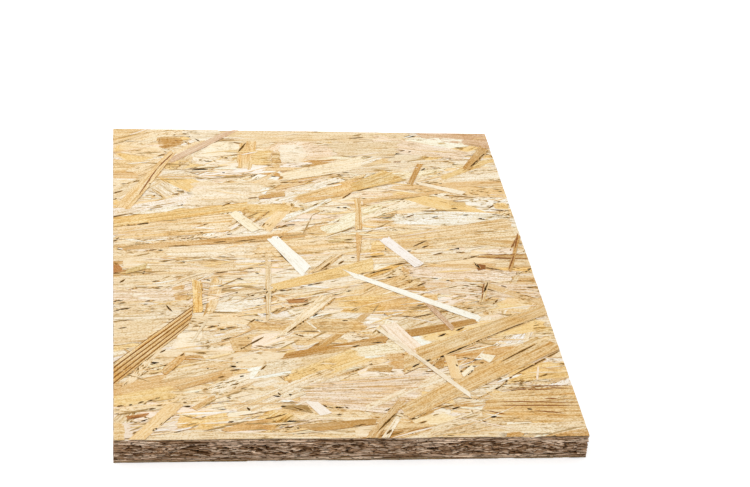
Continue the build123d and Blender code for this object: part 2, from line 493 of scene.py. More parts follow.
def add_camera():
    """The camera at the photograph's place and angle."""
    right, up, forward = camera_axes()
    lens = bpy.data.cameras.new("photo_camera")
    lens.sensor_fit = "HORIZONTAL"
    lens.sensor_width = SENSOR_WIDTH
    lens.lens = SENSOR_WIDTH * FOCAL_PIXELS / PHOTO_WIDTH
    camera = bpy.data.objects.new("photo_camera", lens)
    turn = Matrix((right, up, -forward)).transposed().to_4x4()
    camera.matrix_world = Matrix.Translation(CAMERA_PLACE * METRES) @ turn
    bpy.context.collection.objects.link(camera)
    bpy.context.scene.camera = camera


def on_top_face(pixel):
    """Where the line of sight through a pixel of the photograph meets the top face, in plan."""
    right, up, forward = camera_axes()
    across = (pixel[0] - PHOTO_WIDTH / 2) / FOCAL_PIXELS
    above = (PHOTO_HEIGHT / 2 - pixel[1]) / FOCAL_PIXELS
    sight = forward + across * right + above * up
    reach = (THICKNESS - CAMERA_PLACE.z) / sight.z
    place = CAMERA_PLACE + reach * sight
    return np.array((place.x, place.y))


# Strands in plan


@dataclass
class Strand:
    """One strand in plan. Its corners run start-left, end-left, end-right, start-right."""

    corners: np.ndarray
    tone: str
    stripes: float
    layer: str
    thickness: float = STRAND_THICKNESS
    ragged: float = 4.0  # how far back its ends are torn
    fray: float = FRAY  # how far its long sides wander
    fray_share: float = 0.25  # the most of its width that they wander
    spacing: float = SPAN_ALONG  # mesh spacing along it
    bend: float = 0.0  # how far its middle stands to the left of its ends
    pointed: float = 0.0  # 0 for square ends, 1 for a lens
    merging: float = 0.0  # how much of its rim is pressed in
    rim: float = SIDE_BAND  # how wide that rim is along its sides
    wear: float = 1.0  # how much its face is torn and cracked: bumps and painted shade in the tears and cracks


@dataclass
class Plate:
    """A strand that has been laid: a grid of places in plan with an under and an upper height."""

    plan: np.ndarray
    under: np.ndarray
    over: np.ndarray
    along: np.ndarray
    across: np.ndarray
    tint: np.ndarray
    stripes: float
    wear: float
    seed: float
    layer: str = "edge"
    set_back: float = 0.0  # how deep behind the panel's side the saw leaves it


def strand_between(start, end, width, tone, stripes, layer, **more):
    """A straight strand from one place to another."""
    start = np.asarray(start, float)
    end = np.asarray(end, float)
    way = (end - start) / np.linalg.norm(end - start)
    left = np.array((-way[1], way[0])) * width / 2
    corners = np.array((start + left, end + left, end - left, start - left))
    return Strand(corners, tone, stripes, layer, **more)


def strand_around(place, angle, length, width, tone, stripes, layer, **more):
    """A straight strand about its middle. The angle is in degrees from X."""
    turn = math.radians(angle)
    half = np.array((math.cos(turn), math.sin(turn))) * length / 2
    return strand_between(place - half, place + half, width, tone, stripes, layer, **more)


def photo_strand(row, form):
    """A strand from one of the photograph's tables, with its left side on its left."""
    tone, stripes, *pixels = row
    start_one, end_one, start_two, end_two = (on_top_face(pixel) for pixel in pixels)
    way = end_one - start_one
    aside = start_two - start_one
    if way[0] * aside[1] - way[1] * aside[0] > 0:
        start_one, end_one, start_two, end_two = start_two, end_two, start_one, end_one
    corners = np.array((start_one, end_one, end_two, start_two))
    return Strand(corners, tone, stripes, "long", **form)


def photo_marks():
    """The dark marks from the photograph's table, as flat plates, most of them painted shade."""
    strands = []
    for (tone, width), rows in PHOTO_MARKS.items():
        for start_x, start_y, end_x, end_y in rows:
            start = on_top_face((start_x, start_y))
            end = on_top_face((end_x, end_y))
            strands += gap_between(start, end, width, tone)
    return strands


def gap_between(start, end, width, tone):
    """A flat dark plate of painted shade for a ragged gap between strands, pointed at both ends. Brown
    painted shade fades out round the darkest ones.
    """
    lens = {"thickness": SHADE_PLATE_THICKNESS, "ragged": 2.0, "pointed": 0.8, "wear": 0.0}
    torn = {"fray": width, "fray_share": 0.6, "spacing": SPAN_IN_GAP}
    gap = [strand_between(start, end, width, tone, 0.0, "splinter", **lens, **torn)]
    if tone in GAP_SHADE_TONES:
        faded = {"merging": 1.0, "rim": GAP_SHADE_RIM}
        shade_width = width + GAP_SHADE_WIDTH
        shade_tone = GAP_SHADE_TONES[tone]
        gap.insert(0, strand_between(start, end, shade_width, shade_tone, 0.0, "splinter", **lens, **faded))
    return gap


def anywhere(rng, beyond=0.0):
    """A place on the panel, or a little beyond its sides."""
    reach = np.array((HALF_WIDTH + beyond, HALF_DEPTH + beyond))
    return rng.uniform(-reach, reach)


def scattered_tone(rng):
    """A tone as often as it comes on the panel."""
    shares = np.array(list(SCATTER_SHARES.values()))
    return str(rng.choice(list(SCATTER_SHARES), p=shares / shares.sum()))


def scattered_angle(rng):
    """The way a strand lies: about along X, turned a little to the left, or now and then any way."""
    kind = rng.choice(3, p=ANGLE_SHARES)
    return (rng.normal(*ALONG_ANGLES), rng.normal(*LEFT_ANGLES), rng.uniform(*ANY_ANGLES))[kind]


def scattered_strand(rng):
    """A strand that fell anywhere, mostly along X, and mostly pressed into its neighbours."""
    place = anywhere(rng, SCATTER_BEYOND)
    angle = scattered_angle(rng)
    length = rng.uniform(*STRAND_LENGTHS)
    width = rng.uniform(*STRAND_WIDTHS)
    if rng.random() < CHIP_SHARE:
        length = rng.uniform(*CHIP_LENGTHS)
        width = rng.uniform(*CHIP_WIDTHS)
    return strand_around(
        place,
        angle,
        length,
        width,
        scattered_tone(rng),
        rng.uniform(*SCATTER_STRIPES),
        "bed",
        ragged=rng.uniform(3, 12),
        fray=rng.uniform(0.6, 2.6),
        bend=rng.normal(0, 0.03) * length,
        pointed=rng.uniform(0.0, 0.7),
        merging=rng.uniform(0.35, 0.7),
    )


def gap_beside(strand, rng):
    """A dark gap of painted shadow under part of a strand's long side, on the side towards the front."""
    start_left, end_left, end_right, start_right = strand.corners
    start, end = start_left, end_left
    if start_right[1] + end_right[1] < start_left[1] + end_left[1]:
        start, end = start_right, end_right
    first = rng.uniform(*GAP_START_SHARES)
    last = first + rng.uniform(*GAP_LENGTH_SHARES)
    way = end - start
    tone = str(rng.choice(("void", "crack", "crack", "umber")))
    return gap_between(start + first * way, start + last * way, rng.uniform(*GAP_WIDTHS), tone)


def sliver(rng, place):
    """A thin splinter, nearly flush with the face."""
    return strand_around(
        place,
        rng.normal(GRAIN_ANGLE, SLIVER_TURN),
        rng.uniform(*SLIVER_LENGTHS),
        rng.uniform(*SLIVER_WIDTHS),
        str(rng.choice(SLIVER_TONES)),
        0.0,
        "sliver",
        thickness=SLIVER_THICKNESS,
        pointed=0.85,
        wear=0.3,
    )


def speck(rng):
    """A small void between strands, painted as a dark speck of shade."""
    place = anywhere(rng)
    turn = math.radians(rng.normal(GRAIN_ANGLE, SPECK_TURN))
    half = np.array((math.cos(turn), math.sin(turn))) * rng.uniform(*SPECK_HALF_LENGTHS)
    width = rng.uniform(*SPECK_WIDTHS)
    tone = str(rng.choice(("crack", "void")))
    return gap_between(place - half, place + half, width, tone)


def bed_strands(rng):
    """A regular first layer under the scattered strands."""
    strands = []
    for y in np.arange(-HALF_DEPTH, HALF_DEPTH + BED_PITCH[1], BED_PITCH[1]):
        for x in np.arange(-HALF_WIDTH, HALF_WIDTH + BED_PITCH[0], BED_PITCH[0]):
            place = np.array((x, y)) + rng.uniform(-BED_SHIFT, BED_SHIFT, 2)
            angle = rng.normal(0, BED_TURN)
            tone = scattered_tone(rng)
            strands.append(strand_around(place, angle, *BED_SIZE, tone, BED_STRIPES, "bed"))
    return strands


def with_gap(strand, gap_share, rng):
    """A strand, now and then with a dark gap of painted shadow under its side."""
    if rng.random() < gap_share:
        return [*gap_beside(strand, rng), strand]
    return [strand]


def speckled_mat(rng, specks):
    """The mat of one face: a first layer, scattered strands and splinters with gaps of painted shadow, and
    specks of painted shade.
    """
    strands = bed_strands(rng)
    for number in range(SCATTERED):
        strands += with_gap(scattered_strand(rng), SCATTERED_GAP_SHARE, rng)
        if number > BARE_SHARE * SCATTERED:
            for repeat in range(SLIVERS_EACH):
                strands += with_gap(sliver(rng, anywhere(rng)), SLIVER_GAP_SHARE, rng)
    for number in range(specks):
        strands += speck(rng)
    return strands


def top_strands(rng):
    """The top face: a mat, and over it the strands and marks that the photograph shows."""
    strands = speckled_mat(rng, TOP_SPECKS)
    for row in PHOTO_FLAKES:
        strands += with_gap(photo_strand(row, FLAKE_FORM), FLAKE_GAP_SHARE, rng)
    for number in range(TOP_SLIVERS):
        strands += with_gap(sliver(rng, anywhere(rng)), TOP_SLIVER_GAP_SHARE, rng)
    for (left, top, right, bottom), count in BUSY_ZONES.items():
        for number in range(count):
            pixel = rng.uniform((left, top), (right, bottom)).tolist()
            strands += with_gap(sliver(rng, on_top_face(pixel)), BUSY_GAP_SHARE, rng)
    for row in PHOTO_STRANDS:
        strands += with_gap(photo_strand(row, CLEAR_FORM), CLEAR_GAP_SHARE, rng)
    return strands + photo_marks()


# Laying and pressing


class HeightMap:
    """How high the strands laid so far stand, and their colours, on a square grid in plan."""

    def __init__(self):
        reach = np.array((HALF_WIDTH, HALF_DEPTH)) + MAP_MARGIN
        size = np.ceil(2 * reach / MAP_CELL).astype(int)
        self.low = -reach
        self.heights = np.zeros(size)
        self.tints = np.full((*size, 3), linear(TONES["straw"]))
        self.owner = np.full(size, -1)

    def cells(self, plan):
        index = np.floor((plan - self.low) / MAP_CELL).astype(int)
        index = np.clip(index, 0, np.array(self.heights.shape) - 1)
        return index[..., 0], index[..., 1]

    def cover(self, plan, over, tint, owner):
        cells = self.cells(plan)
        self.heights[cells] = over
        self.tints[cells] = tint
        self.owner[cells] = owner

    def smoothed(self):
        """The heights with everything narrower than the press's blur averaged out."""
        reach = int(3 * PRESS_BLUR / MAP_CELL)
        steps = np.arange(-reach, reach + 1) * MAP_CELL
        weights = np.exp(-0.5 * (steps / PRESS_BLUR) ** 2)
        weights /= weights.sum()
        result = self.heights
        for axis in (0, 1):
            widths = [(reach, reach) if number == axis else (0, 0) for number in (0, 1)]
            padded = np.pad(result, widths, mode="edge")
            result = np.apply_along_axis(np.convolve, axis, padded, weights, mode="valid")
        return result


def rolled(values, reach, how):
    """A running maximum or mean along the first axis."""
    count = len(values)
    rows = [values[np.clip(np.arange(count) + step, 0, count - 1)] for step in range(-reach, reach + 1)]
    return how(np.array(rows), axis=0)


def wander(rng, count, size):
    """Smooth random numbers about zero, over a range of the given size."""
    rough = rng.uniform(-size / 2, size / 2, count)
    return rolled(rough[:, None], 1, np.mean)[:, 0]


def refined(grid, times):
    """A grid of values with straight steps put in between, for covering the map without holes."""
    for axis in (0, 1):
        count = grid.shape[axis]
        spots = np.linspace(0, count - 1, (count - 1) * times[axis] + 1)
        first = np.minimum(spots.astype(int), count - 2)
        shape = [1] * grid.ndim
        shape[axis] = -1
        part = (spots - first).reshape(shape)
        grid = np.take(grid, first, axis) * (1 - part) + np.take(grid, first + 1, axis) * part
    return grid


def tinted(tone, rng):
    """A tone's linear colour with a strand's own small difference."""
    shade = rng.normal(1.0, SHADE_SPREAD)
    warmth = rng.normal(0.0, WARMTH_SPREAD)
    warmed = np.array((1 + warmth, 1.0, 1 - 2 * warmth))
    return np.clip(linear(TONES[tone]) * shade * warmed, 0.0, BRIGHTEST)


def rim_shares(size, spacing, band, most):
    """Where a strand's mesh is divided along or across it, as shares, with a close division at each side."""
    if size < UNDIVIDED_SHARE * spacing:
        return np.array((0.0, 1.0))
    inner = int(np.clip(round(size / spacing), 2, most))
    close = min(band, size / 4) / size
    return np.concatenate(((0.0,), np.linspace(close, 1 - close, inner), (1.0,)))


def torn_line(rng, column_shares):
    """How far back a strand's end is torn at each column, about zero: a slant with small teeth."""
    slant = rng.uniform(-END_SLANT, END_SLANT) * (column_shares - 0.5)
    return slant + rng.uniform(-END_TEETH, END_TEETH, column_shares.size)


def strand_grid(strand, rng):
    """Places in plan over a strand, with torn ends and frayed sides, and its own coordinates there."""
    start_left, end_left, end_right, start_right = strand.corners
    way = (end_left + end_right - start_left - start_right) / 2
    length = np.linalg.norm(way)
    leftward = np.array((-way[1], way[0])) / length
    width = (start_left + end_left - start_right - end_right) @ leftward / 2
    row_shares = rim_shares(length, strand.spacing, END_BANDS * strand.rim, MOST_ROWS)[:, None]
    column_shares = rim_shares(width, SPAN_ACROSS, strand.rim, MOST_COLUMNS)[None, :]
    torn = min(strand.ragged, MOST_TORN_SHARE * length) / length
    torn_start = torn * torn_line(rng, column_shares)
    torn_end = torn * torn_line(rng, column_shares)
    along = torn_start + row_shares * (1 - torn_start - torn_end)
    fray = min(strand.fray, strand.fray_share * width) / width
    left = wander(rng, row_shares.size, fray)[:, None]
    right = 1 - wander(rng, row_shares.size, fray)[:, None]
    across = left + (right - left) * column_shares
    taper = 1 - strand.pointed * np.abs(2 * row_shares - 1) ** TAPER_POWER
    across = 0.5 + (across - 0.5) * taper
    u = along[..., None]
    v = across[..., None]
    plan = (1 - v) * ((1 - u) * start_left + u * end_left) + v * ((1 - u) * start_right + u * end_right)
    plan = plan + strand.bend * 4 * u * (1 - u) * leftward
    return plan, along * length, (across - 0.5) * width


def rim_proud(shape, merging, rng):
    """How far a strand stands up from what lies below, from 0 to 1: less where its rim is pressed in."""
    proud = np.ones(shape)
    for line in (np.s_[:, 0], np.s_[:, -1], np.s_[0, :], np.s_[-1, :]):
        level = 0.5 + wander(rng, proud[line].size, 1.0)
        proud[line] = np.clip((level - merging) * RIM_CONTRAST + 0.5, 0.0, 1.0)
    return proud


def lay(heights, strand, owner, rng):
    """Lays a strand on those below. It bridges hollows along its grain and rests on the high spots."""
    plan, along, across = strand_grid(strand, rng)
    cells = heights.cells(plan)
    below = heights.heights[cells]
    tint = np.broadcast_to(tinted(strand.tone, rng), (*below.shape, 3))
    proud = rim_proud(below.shape, strand.merging, rng)
    tint = tint + (heights.tints[cells] - tint) * (TINT_BLEND * (1 - proud))[..., None]
    if strand.thickness == SHADE_PLATE_THICKNESS:
        over = below + SHADE_PLATE_THICKNESS
    else:
        high_spots = rolled(below, 2, np.max)
        seat = rolled((1 - HIGH_SPOT_SHARE) * below + HIGH_SPOT_SHARE * high_spots, 2, np.mean)
        seat = OWN_SEAT_SHARE * seat + LEVEL_SEAT_SHARE * seat.mean(axis=1, keepdims=True)
        rise = np.maximum(seat + strand.thickness - below, FLUSH)
        over = below + FLUSH + (rise - FLUSH) * proud
    times = [math.ceil(MAP_DENSITY * span / MAP_CELL) for span in (SPAN_ALONG, SPAN_ACROSS)]
    dense = refined(np.dstack((plan, over, tint)), times)
    heights.cover(dense[..., :2], dense[..., 2], dense[..., 3:], owner)
    under = over - strand.thickness - OVERLAP
    seed = rng.uniform(0, GRAIN_SEEDS)
    return Plate(plan, under, over, along, across, tint, strand.stripes, strand.wear, seed, strand.layer)


def press_depth(height):
    """How far under the press's plate a strand ends up, from its height in the loose mat."""
    depth = PRESS_SOFTNESS * np.log1p(np.exp((PRESS_LEVEL - height) / PRESS_SOFTNESS))
    return PRESS_LIMIT * (1 - np.exp(-depth / PRESS_LIMIT))


def pressed_face(strands, rng):
    """The plates of one face, pressed to the panel's surface, without those that nothing shows of."""
    heights = HeightMap()
    plates = [lay(heights, strand, number, rng) for number, strand in enumerate(strands)]
    level = heights.smoothed()
    seen = np.bincount(heights.owner[heights.owner >= 0], minlength=len(plates))
    kept = []
    for number, plate in enumerate(plates):
        if seen[number] < 2:
            continue
        ground = level[heights.cells(plate.plan)]
        plate.over = THICKNESS - press_depth(plate.over - ground)
        plate.under = np.minimum(THICKNESS - press_depth(plate.under - ground), plate.over - THINNEST)
        kept.append(plate)
    return kept


# Sawn edges


def edge_wave(run, height):
    """How far the layers rise and fall along an edge. Layers that lie close together run alike."""
    return sum(
        size * np.sin(run / length + rising * height + start) for size, length, rising, start in EDGE_WAVES
    )


def edge_strands(run_axis, sign, rng):
    """Strands just inside one side of the panel, layer upon layer, for the saw to cut."""
    half_run = HALF_WIDTH if run_axis == 0 else HALF_DEPTH - EDGE_DEPTH
    plates = []
    for height in np.arange(EDGE_PITCH, THICKNESS - EDGE_PITCH / 2, EDGE_PITCH):
        in_face_band = min(height, THICKNESS - height) < FACE_BAND
        lies_along = in_face_band == (run_axis == 0)
        run = -half_run - rng.uniform(0, LONG_SPAN[1])
        while run < half_run:
            span = rng.uniform(*(LONG_SPAN if lies_along else SHORT_SPAN))
            shares = FACE_BAND_SHARES if in_face_band else MIDDLE_SHARES
            tone = str(rng.choice(list(SECTION_TONES_AND_SHADE), p=shares))
            plates.append(edge_plate(run_axis, sign, run, run + span, height, lies_along, tone, rng))
            run += span * rng.uniform(*EDGE_STEP_SHARES)
    return plates


def edge_plate(run_axis, sign, first, last, height, lies_along, tone, rng):
    """One strand at a side. It reaches past the side, so that the saw cuts it there."""
    outer = HALF_DEPTH if run_axis == 0 else HALF_WIDTH
    rows = int(np.clip((last - first) / EDGE_SPACING, 3, MOST_ROWS)) + 1
    runs = np.linspace(first, last, rows)
    depths = sign * np.array((outer + SAW_WASTE, outer - EDGE_DEPTH * rng.uniform(*EDGE_DEPTH_SHARES)))
    part = np.linspace(-1, 1, rows)
    tilt = rng.normal(0, LONG_TILT if lies_along else SHORT_TILT)
    middle = height + edge_wave(runs, height) + tilt * part
    half_thick = rng.uniform(*EDGE_HALF_THICKNESSES) * (1 - EDGE_TAPER * np.abs(part) ** 4)
    low = np.clip(middle - half_thick, SKIN, THICKNESS - SKIN - 2 * EDGE_THINNEST)
    high = np.clip(middle + half_thick, low + EDGE_THINNEST, THICKNESS - SKIN)
    run_grid, depth_grid = np.meshgrid(runs, depths, indexing="ij")
    plan = np.dstack((run_grid, depth_grid) if run_axis == 0 else (depth_grid, run_grid))
    along, across = run_grid - first, depth_grid - outer
    if not lies_along:
        along, across = across, along
    return Plate(
        plan,
        np.repeat(low[:, None], 2, 1),
        np.repeat(high[:, None], 2, 1),
        along,
        across,
        np.broadcast_to(linear(SECTION_TONES_AND_SHADE[tone]) * rng.normal(1.0, EDGE_SHADE_SPREAD), (rows, 2, 3)),
        stripes=0.0,
        wear=0.0,
        seed=rng.uniform(0, GRAIN_SEEDS),
        set_back=rng.uniform(*(PIT_DEPTHS if tone == "pit" else CUT_DEPTHS)),
    )


# Meshes

FACE, TORN, SAWN = range(3)


def plate_faces(rows, columns):
    """Corner numbers and material numbers of a closed plate, whose upper grid comes before its under grid."""
    grid = np.arange(rows * columns).reshape(rows, columns)
    low = grid + rows * columns
    upper = np.stack((grid[:-1, :-1], grid[:-1, 1:], grid[1:, 1:], grid[1:, :-1]), -1).reshape(-1, 4)
    under = np.stack((low[:-1, :-1], low[1:, :-1], low[1:, 1:], low[:-1, 1:]), -1).reshape(-1, 4)
    rim = np.concatenate((grid[:-1, 0], grid[-1, :-1], grid[:0:-1, -1], grid[0, :0:-1]))
    after = np.roll(rim, -1)
    down = rows * columns
    sides = np.stack((rim, after, after + down, rim + down), -1)
    faces = np.concatenate((upper, under, sides))
    kinds = np.concatenate((np.full(len(upper), FACE), np.full(len(under) + len(sides), TORN)))
    return faces, kinds


def doubled(values):
    """Values of a plate's grid for its upper and then its under corners, one row for each corner."""
    rows = values.reshape(values.shape[0] * values.shape[1], -1)
    return np.concatenate((rows, rows))


def joined_mesh(name, plates, turned):
    """One mesh of many plates. A turned face is the panel's underside, so its heights count down."""
    places, faces, kinds = [], [], []
    fields = {"grain": [], "tint": [], "stripes": [], "wear": [], "set_back": []}
    count = 0
    for plate in plates:
        rows, columns = plate.over.shape
        flat = np.ones((rows, columns, 1))
        own_faces, own_kinds = plate_faces(rows, columns)
        for height in (plate.over, plate.under):
            height = THICKNESS - height if turned else height
            places.append(np.dstack((plate.plan, height)).reshape(-1, 3))
        faces.append(own_faces + count)
        kinds.append(own_kinds)
        fields["grain"].append(doubled(np.dstack((plate.along, plate.across, plate.seed * flat))))
        fields["tint"].append(doubled(np.dstack((plate.tint, flat))))
        fields["stripes"].append(doubled(plate.stripes * flat))
        fields["wear"].append(doubled(plate.wear * flat))
        fields["set_back"].append(doubled(plate.set_back * flat))
        count += 2 * rows * columns
    mesh = bpy.data.meshes.new(name)
    mesh.from_pydata(np.concatenate(places) * METRES, [], np.concatenate(faces).tolist())
    mesh.polygons.foreach_set("material_index", np.concatenate(kinds).astype(np.int32))
    forms = {"grain": ("FLOAT_VECTOR", "vector"), "tint": ("FLOAT_COLOR", "color")}
    for label, values in fields.items():
        kind, field = forms.get(label, ("FLOAT", "value"))
        attribute = mesh.attributes.new(label, kind, "POINT")
        attribute.data.foreach_set(field, np.concatenate(values).astype(np.float32).ravel())
    return mesh


def saw_square(mesh):
    """Cuts a mesh at the panel's four sides, closes the cuts, and leaves them rough."""
    solid = bmesh.new()
    solid.from_mesh(mesh)
    set_back = solid.verts.layers.float["set_back"]
    for axis, half in ((0, HALF_WIDTH), (1, HALF_DEPTH)):
        for sign in (-1, 1):
            place = Vector((0, 0, 0))
            place[axis] = sign * half * METRES
            outward = Vector((0, 0, 0))
            outward[axis] = sign
            geometry = solid.verts[:] + solid.edges[:] + solid.faces[:]
            bmesh.ops.bisect_plane(
                solid, geom=geometry, dist=1e-7, plane_co=place, plane_no=outward, clear_outer=True
            )
            open_edges = [edge for edge in solid.edges if edge.is_boundary]
            filled = bmesh.ops.holes_fill(solid, edges=open_edges, sides=0)["faces"]
            cut = set()
            for face in filled:
                face.material_index = SAWN
                cut.update(face.verts)
            for vertex in cut:
                rough = SAW_ROUGHNESS * (1 + noise.noise(vertex.co * SAW_WAVES))
                vertex.co[axis] -= sign * (vertex[set_back] + rough) * METRES
    for face in solid.faces:
        face.smooth = face.material_index == FACE
    for edge in solid.edges:
        edge.smooth = len({face.material_index for face in edge.link_faces}) == 1
    bmesh.ops.recalc_face_normals(solid, faces=solid.faces[:])
    solid.to_mesh(mesh)
    solid.free()
    mesh.attributes.remove(mesh.attributes["set_back"])


def place_piece(name, mesh, materials):
    """Puts a finished mesh on the panel's body, in place of the plain panel."""
    for material in materials:
        mesh.materials.append(material)
    piece = bpy.data.objects.new(name, mesh)
    bpy.context.collection.objects.link(piece)
    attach(piece, "root")
    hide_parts(PANEL)


def add_strands(name, plates, materials, turned=False):
    """A piece of the panel made of many strands."""
    mesh = joined_mesh(name, plates, turned)
    saw_square(mesh)
    place_piece(name, mesh, materials)


def add_core(material):
    """The inside of the board, painted dark as shade, seen only through gaps between strands."""
    inset = 3.5
    skin = 1.6
    spacing = 12.0
    half = np.array((HALF_WIDTH - inset, HALF_DEPTH - inset))
    rows, columns = np.ceil(2 * half / spacing).astype(int) + 1
    xs = np.linspace(-half[0], half[0], rows)
    ys = np.linspace(-half[1], half[1], columns)
    plan = np.dstack(np.meshgrid(xs, ys, indexing="ij"))
    faces, _ = plate_faces(rows, columns)
    heights = [np.full((rows, columns), height) for height in (THICKNESS - skin, skin)]
    places = np.concatenate([np.dstack((plan, height)).reshape(-1, 3) for height in heights])
    mesh = bpy.data.meshes.new("board_core")
    mesh.from_pydata(places * METRES, [], faces[:, ::-1].tolist())
    place_piece("board_core", mesh, [material])


# Materials

GLOSS = 0.04  # raw wood is nearly matt


class Shader:
    """A new material, and short ways to add nodes to it."""

    def __init__(self, name):
        self.material = bpy.data.materials.new(name)
        self.material.use_nodes = True
        self.tree = self.material.node_tree
        self.tree.nodes.clear()
        self.output = self.tree.nodes.new("ShaderNodeOutputMaterial")

    def add(self, kind, inputs=(), **settings):
        """Adds a node. An input is a plain value, or the output of another node."""
        node = self.tree.nodes.new(kind)
        for name, value in settings.items():
            setattr(node, name, value)
        for key, value in dict(inputs).items():
            if isinstance(value, bpy.types.NodeSocket):
                self.tree.links.new(value, node.inputs[key])
            else:
                node.inputs[key].default_value = value
        return node

    def attribute(self, name, output="Fac"):
        return self.add("ShaderNodeAttribute", attribute_name=name).outputs[output]

    def place(self):
        """The place on the panel, in millimetres."""
        return self.stretched(self.add("ShaderNodeTexCoord").outputs["Object"], (1 / METRES,) * 3)

    def stretched(self, vector, scale):
        node = self.add("ShaderNodeVectorMath", {0: vector, 1: scale}, operation="MULTIPLY")
        return node.outputs["Vector"]

    def noise(self, vector, scale, detail=3.0, roughness=0.55):
        """Noise on a vector that is stretched by a scale for each axis."""
        stretched = self.stretched(vector, scale)
        inputs = {"Vector": stretched, "Scale": 1.0, "Detail": detail, "Roughness": roughness}
        return self.add("ShaderNodeTexNoise", inputs).outputs["Fac"]

    def math(self, operation, first, second=0.0):
        return self.add("ShaderNodeMath", {0: first, 1: second}, operation=operation).outputs["Value"]

    def times(self, first, second):
        return self.math("MULTIPLY", first, second)

    def span(self, value, low, high, to_low=0.0, to_high=1.0):
        """A value from low to high, moved smoothly to another range and held there."""
        inputs = {"Value": value, "From Min": low, "From Max": high, "To Min": to_low, "To Max": to_high}
        return self.add("ShaderNodeMapRange", inputs, interpolation_type="SMOOTHSTEP").outputs["Result"]

    def mix(self, share, first, second, blend="MIX"):
        inputs = {"Factor": share, 6: first, 7: second}
        return self.add("ShaderNodeMix", inputs, data_type="RGBA", blend_type=blend).outputs[2]

    def veiled(self, colour, share, veil):
        """A colour multiplied by a veil's colour where the share is 1."""
        return self.mix(share, colour, self.mix(1.0, colour, veil, "MULTIPLY"))

    def shaded(self, colour, value):
        """A colour multiplied by a value."""
        grey = self.add("ShaderNodeCombineColor", {"Red": value, "Green": value, "Blue": value})
        return self.mix(1.0, colour, grey.outputs["Color"], "MULTIPLY")

    def surface(self, colour, roughness, height, bump, distance):
        """Ends the material in one surface shader. The distance that the bump stands for is in metres."""
        bumped = self.add("ShaderNodeBump", {"Height": height, "Strength": bump, "Distance": distance})
        inputs = {"Base Color": colour, "Roughness": roughness, "Normal": bumped.outputs["Normal"]}
        shader = self.add("ShaderNodeBsdfPrincipled", inputs)
        shader.inputs["Specular IOR Level"].default_value = GLOSS
        self.tree.links.new(shader.outputs["BSDF"], self.output.inputs["Surface"])
        return self.material


# Veils multiply a colour where they lie, and bleaching lifts it towards white
BLEACH = (0.3, 0.24, 0.16, 1.0)
RESIN = (0.94, 0.8, 0.55, 1.0)
DARK_FIBRE = (0.74, 0.63, 0.43, 1.0)
# a brown veil: stain along growth lines, and painted shade at the fringes of tears and cracks
STAIN_AND_SHADE = (0.76, 0.57, 0.28, 1.0)
LATE_WOOD = (0.34, 0.2, 0.06, 1.0)
# the sides of strands darkened, as torn fibre and as painted shade
TORN_SIDE_AND_SHADE = (0.66, 0.5, 0.28, 1.0)
# darker cut faces of the face strands, partly their own colour and partly painted shade on the sides
FACE_STRAND_CUT = (0.42, 0.37, 0.36, 1.0)
PLAIN_CUT = (1.0, 1.0, 1.0, 1.0)

# Colours of painted shade, 0 to 255: a lighter brown that breaks up dark gaps, dark dashes in torn patches,
# fine cracks, saw pits, and the board's inside
BROKEN_GAP = (152, 112, 56)
TORN_PATCH_SHADE = (86, 58, 14)
FINE_CRACK_SHADE = (78, 52, 13)
SAW_PIT_SHADE = (42, 29, 18)
CORE_SHADE_DARK = (40, 28, 16)
CORE_SHADE_LIGHT = (92, 66, 40)


